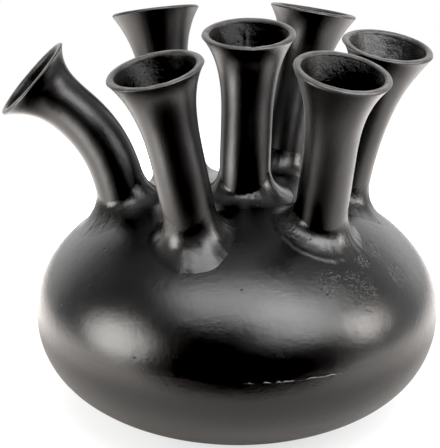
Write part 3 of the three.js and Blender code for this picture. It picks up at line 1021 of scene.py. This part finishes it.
# %% Seam tree
def seam_tree():
    tree = ShapeTree("dressed_seam", ["Radius", "Width", "Depth", "Level", "Proud", "Crest", "Finish"])
    given = tree.given
    circle = tree.node("GeometryNodeCurvePrimitiveCircle", {
        "Resolution": 1200, "Radius": given["Radius"] - given["Depth"] * 0.5})["Curve"]
    lifted = tree.moved(circle, tree.combined(0.0, 0.0, given["Level"]))
    section = tree.node("GeometryNodeCurvePrimitiveQuadrilateral", {
        "Width": given["Depth"], "Height": given["Width"]})["Curve"]
    fine = tree.node("GeometryNodeResampleCurve", {"Curve": section, "Count": 64})["Curve"]
    ring = tree.node("GeometryNodeCurveToMesh", {"Curve": lifted, "Profile Curve": fine})["Mesh"]

    here = tree.here()
    place = tree.parts(here)
    flat = tree.vector_maths("MULTIPLY", here, (1.0, 1.0, 0.0))
    reach = tree.vector_maths("LENGTH", flat, out="Value")
    outside = tree.band(reach, given["Radius"] - 0.4 * MM, given["Radius"] - 0.1 * MM)
    rough = tree.noise(flat, 5 * MM, seed=1.2, detail=2) - 0.5
    long = tree.noise(flat, 22 * MM, seed=5.5, detail=1)
    shown = tree.band(place["X"], 0.0, 8 * MM) * tree.band(place["X"], 108 * MM, 70 * MM)
    shown = shown * tree.band(place["Y"], 0.0, -30 * MM) * tree.band(long + rough * 1.4, 0.36, 0.62)
    wave = (rough * 2.6 + long - 0.5) * (2.2 * MM)
    crest = ((place["Z"] - given["Level"] - wave) / given["Crest"]).bell() * shown * outside
    lift = tree.scaled(tree.vector_maths("NORMALIZE", flat), crest * given["Proud"])
    # the crest's light grey, stored here, is partly wear and partly a painted highlight
    tree.finish(tree.stored(tree.moved(ring, lift), "worn", crest))
    return tree


seam = grown("seam_weld_fine", seam_tree(), {
    "Radius": skin_radius, "Width": seam_width, "Depth": seam_depth, "Level": equator,
    "Proud": skin_inset, "Crest": 0.33 * MM, "Finish": seam_black})
soften(seam, 40)
print("seam:", len(seam.data.polygons), "faces")

# %% [markdown]
# ## The felt pad
#
# A disc of felt under the foot keeps the metal off the table. It hardly shows, but it is a soft, matt,
# fibrous thing, so its edge is rounded and its finish is a fine tangle of light and dark hairs.

# %% Felt pad
def felt_finish():
    material, tree, place = new_finish("dark_felt")
    hairs = tree.noise(place, 0.6 * MM, seed=3.0, detail=5, roughness=0.7)
    colour = tree.colour(((hairs - 0.3) / 0.4).held(), (0.010, 0.010, 0.010), (0.045, 0.044, 0.042))
    tree.surface(tree.shader("BsdfPrincipled", {
        "Base Color": colour, "Roughness": 0.95, "Sheen Weight": 0.3, "Normal": tree.bump(hairs, 0.2 * MM)}))
    return material


pad_rounding = 0.6 * MM
pad_edge = (arc((pad_radius - pad_rounding, pad_rounding), pad_rounding, -90, 0, 6)
            + arc((pad_radius - pad_rounding, pad_thickness - pad_rounding), pad_rounding, 0, 90, 6))
pad = turned("foot_felt_pad_fine", [(0, pad_low[2])] + pad_edge + [(0, pad_high[2])], 128)
pad.data.materials.append(felt_finish())
soften(pad, 60)
print("pad:", len(pad.data.polygons), "faces")

# %% [markdown]
# ## Joining the pieces to the model
#
# Nothing moves on a vase, so every piece rides on its one body. Each fine piece also stands for the plain
# solid that holds its place in the fixed model, which is hidden.

# %% Ride and replace
bpy.data.objects.remove(shoulder_block)
made = {"body_upper_shell": upper_shell, "body_lower_shell": lower_shell, "seam_weld": seam,
        "foot_felt_pad": pad, **necks, **fillets}
slots = {"foot_felt_pad": "felt", "seam_weld": "weld_metal", **dict.fromkeys(fillets, "weld_metal")}
for node, piece in made.items():
    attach(piece, "root")
    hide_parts(node)
triangles = sum(len(f.vertices) - 2 for piece in made.values() for f in piece.data.polygons)
print(len(made), "pieces,", triangles, "triangles")

# %% [markdown]
# ## Floor, light and camera
#
# The vase stands on a pale matt floor that glows into white further out, like a light table. Five soft boxes
# light it: a wide one overhead, one high on the right of the front, one near it on each side, and a far one
# on the right. Black gloss shows its surroundings more than its own colour, so the dark parts matter as much
# as the lamps: the room behind the camera is dark, and a black card lies on the floor in front, as
# photographers use. Only reflections see the card, so it neither shows nor shades the floor.

# %% Floor and black card
floor_half = 6.0
matt_end = (0.21, 0.34)  # the matt floor turns into glow between these distances from the middle
glow_end = (0.52, 0.88)  # and the strong glow into a faint one between these
seen_glow = 0.68  # how much of the white that the camera sees of the floor is glow
glow_strength = 3.5
warm_glow, dim_glow = (1.0, 0.945, 0.9), (0.84, 0.8, 0.775)  # on the left, and on the right


def flat_sheet(name, corners):
    """A sheet of the studio. Gives the tree of its empty finish, and the place on it, as well."""
    piece = mesh_object(name, corners, [tuple(range(len(corners)))])
    finish, tree, place = new_finish(name + "_paint")
    piece.data.materials.append(finish)
    return piece, tree, place


corners = [(x * floor_half, y * floor_half, 0) for x, y in ((-1, -1), (1, -1), (1, 1), (-1, 1))]
floor, paint, place = flat_sheet("floor", corners)
out = paint.vector_maths("LENGTH", place, out="Value")
faint = paint.shader("Emission", {"Strength": 1.0})
white_paint = paint.shader("BsdfDiffuse", {"Color": (0.9, 0.9, 0.9)})
grey_paint = paint.shader("BsdfDiffuse", {"Color": (0.5, 0.48, 0.465)})
to_camera = paint.node("ShaderNodeLightPath")["Is Camera Ray"]
matt = paint.mixed(to_camera, grey_paint, paint.mixed(seen_glow, white_paint, faint))
to_the_right = paint.band(paint.parts(place)["X"], -0.25, 0.3)
glow_colour = paint.colour(to_the_right, warm_glow, dim_glow)
glow = paint.shader("Emission", {"Color": glow_colour, "Strength": glow_strength})
lit = paint.mixed(paint.band(out, *glow_end), glow, faint)
paint.surface(paint.mixed(paint.band(out, *matt_end), matt, lit))

card, paint, _ = flat_sheet("black_card", [
    (-6.0, -5.1, MM), (6.0, -4.6, MM), (0.78, -0.5, MM), (0.4, -0.27, MM),
    (0.1, -0.25, MM), (-0.24, -0.256, MM), (-0.58, -0.47, MM)])
paint.surface(paint.shader("BsdfDiffuse", {"Color": (0.0, 0.0, 0.0)}))
card.visible_camera = card.visible_diffuse = card.visible_shadow = card.visible_transmission = False
print("stage:", floor.name, card.name)

# %% Room
world = bpy.data.worlds.new("studio")
bpy.context.scene.world = world
room = PaintTree(world)
way = room.parts(room.node("ShaderNodeTexCoord")["Generated"])
unlit = room.band(way["Y"] * -1, 0.62, 0.15)
backdrop = room.band(way["Y"], 0.3, 0.8) * room.band(way["Z"], 0.7, 0.4)
right_wall = room.band(way["X"], 0.1, 0.7)
ceiling = room.band(way["Z"], 0.8, 0.97)
mirrored = (0.35 + right_wall * 0.35 + backdrop * 1.1 + ceiling * 0.35) * unlit
rays = room.node("ShaderNodeLightPath")
direct = rays["Is Camera Ray"]
spread = rays["Is Diffuse Ray"]
light = mirrored * (1 - direct) * (1 - spread) + direct * 1.05 + spread
background = room.shader("Background", {"Color": (1.0, 0.995, 0.99), "Strength": light})
room.node("ShaderNodeOutputWorld", {"Surface": background})


def soft_box(name, place, aim, size, radiance, colour, shape="RECTANGLE"):
    light = bpy.data.lights.new(name, "AREA")
    light.shape = shape
    light.size, light.size_y = size
    filled = math.pi / 4 if shape == "ELLIPSE" else 1
    light.energy = math.pi * radiance * light.size * light.size_y * filled
    light.color = colour
    lamp = link(bpy.data.objects.new(name, light))
    lamp.location = place
    lamp.visible_camera = False
    lamp.rotation_euler = (Vector(aim) - Vector(place)).to_track_quat("-Z", "Y").to_euler()
    return lamp


vase_middle = (0, 0, 0.09)
white, cream, warm = (1, 1, 1), (1, 0.98, 0.945), (1, 0.945, 0.92)
overhead = soft_box("overhead", (-0.04, -0.62, 1.35), vase_middle, (1.26, 0.8), 5.7, white)
overhead.rotation_euler = (0, 0, 0)
soft_box("front_right", (0.56, -0.8, 0.98), vase_middle, (0.64, 0.76), 6.8, white)
soft_box("left_side", (-0.405, -0.228, 0.172), (-0.1, -0.08, 0.12), (0.28, 0.26), 11.0, cream, "ELLIPSE")
soft_box("near_right", (0.38, -0.26, 0.44), (0.08, -0.06, 0.13), (0.26, 0.34), 3.8, white)
soft_box("right_side", (2.27, -0.5, 0.88), (0, 0, 0.2), (0.95, 1.05), 12.5, warm, "ELLIPSE")
print("soft boxes:", [light.name for light in bpy.data.lights])

# %% [markdown]
# The camera stands where the photograph's did: a long lens about 1.17 m away, looking down at 18.5 degrees.

# %% Camera
camera_data = bpy.data.cameras.new("camera")
camera_data.sensor_fit = "HORIZONTAL"
camera_data.sensor_width = 36
camera_data.lens = 126.84
look_down = 18.544  # degrees
camera = link(bpy.data.objects.new("camera", camera_data))
camera.location = (-0.01249, -1.09029, 0.51029)
camera.rotation_euler = (math.radians(90 - look_down), 0, 0)
bpy.context.scene.camera = camera
print("camera %.2f m from the vase" % (camera.location - Vector(vase_middle)).length)

colour = bpy.context.scene.view_settings
colour.view_transform = "Standard"
colour.use_curve_mapping = True
colour.curve_mapping.black_level = (0.0105, 0.0105, 0.0105)
colour.curve_mapping.update()
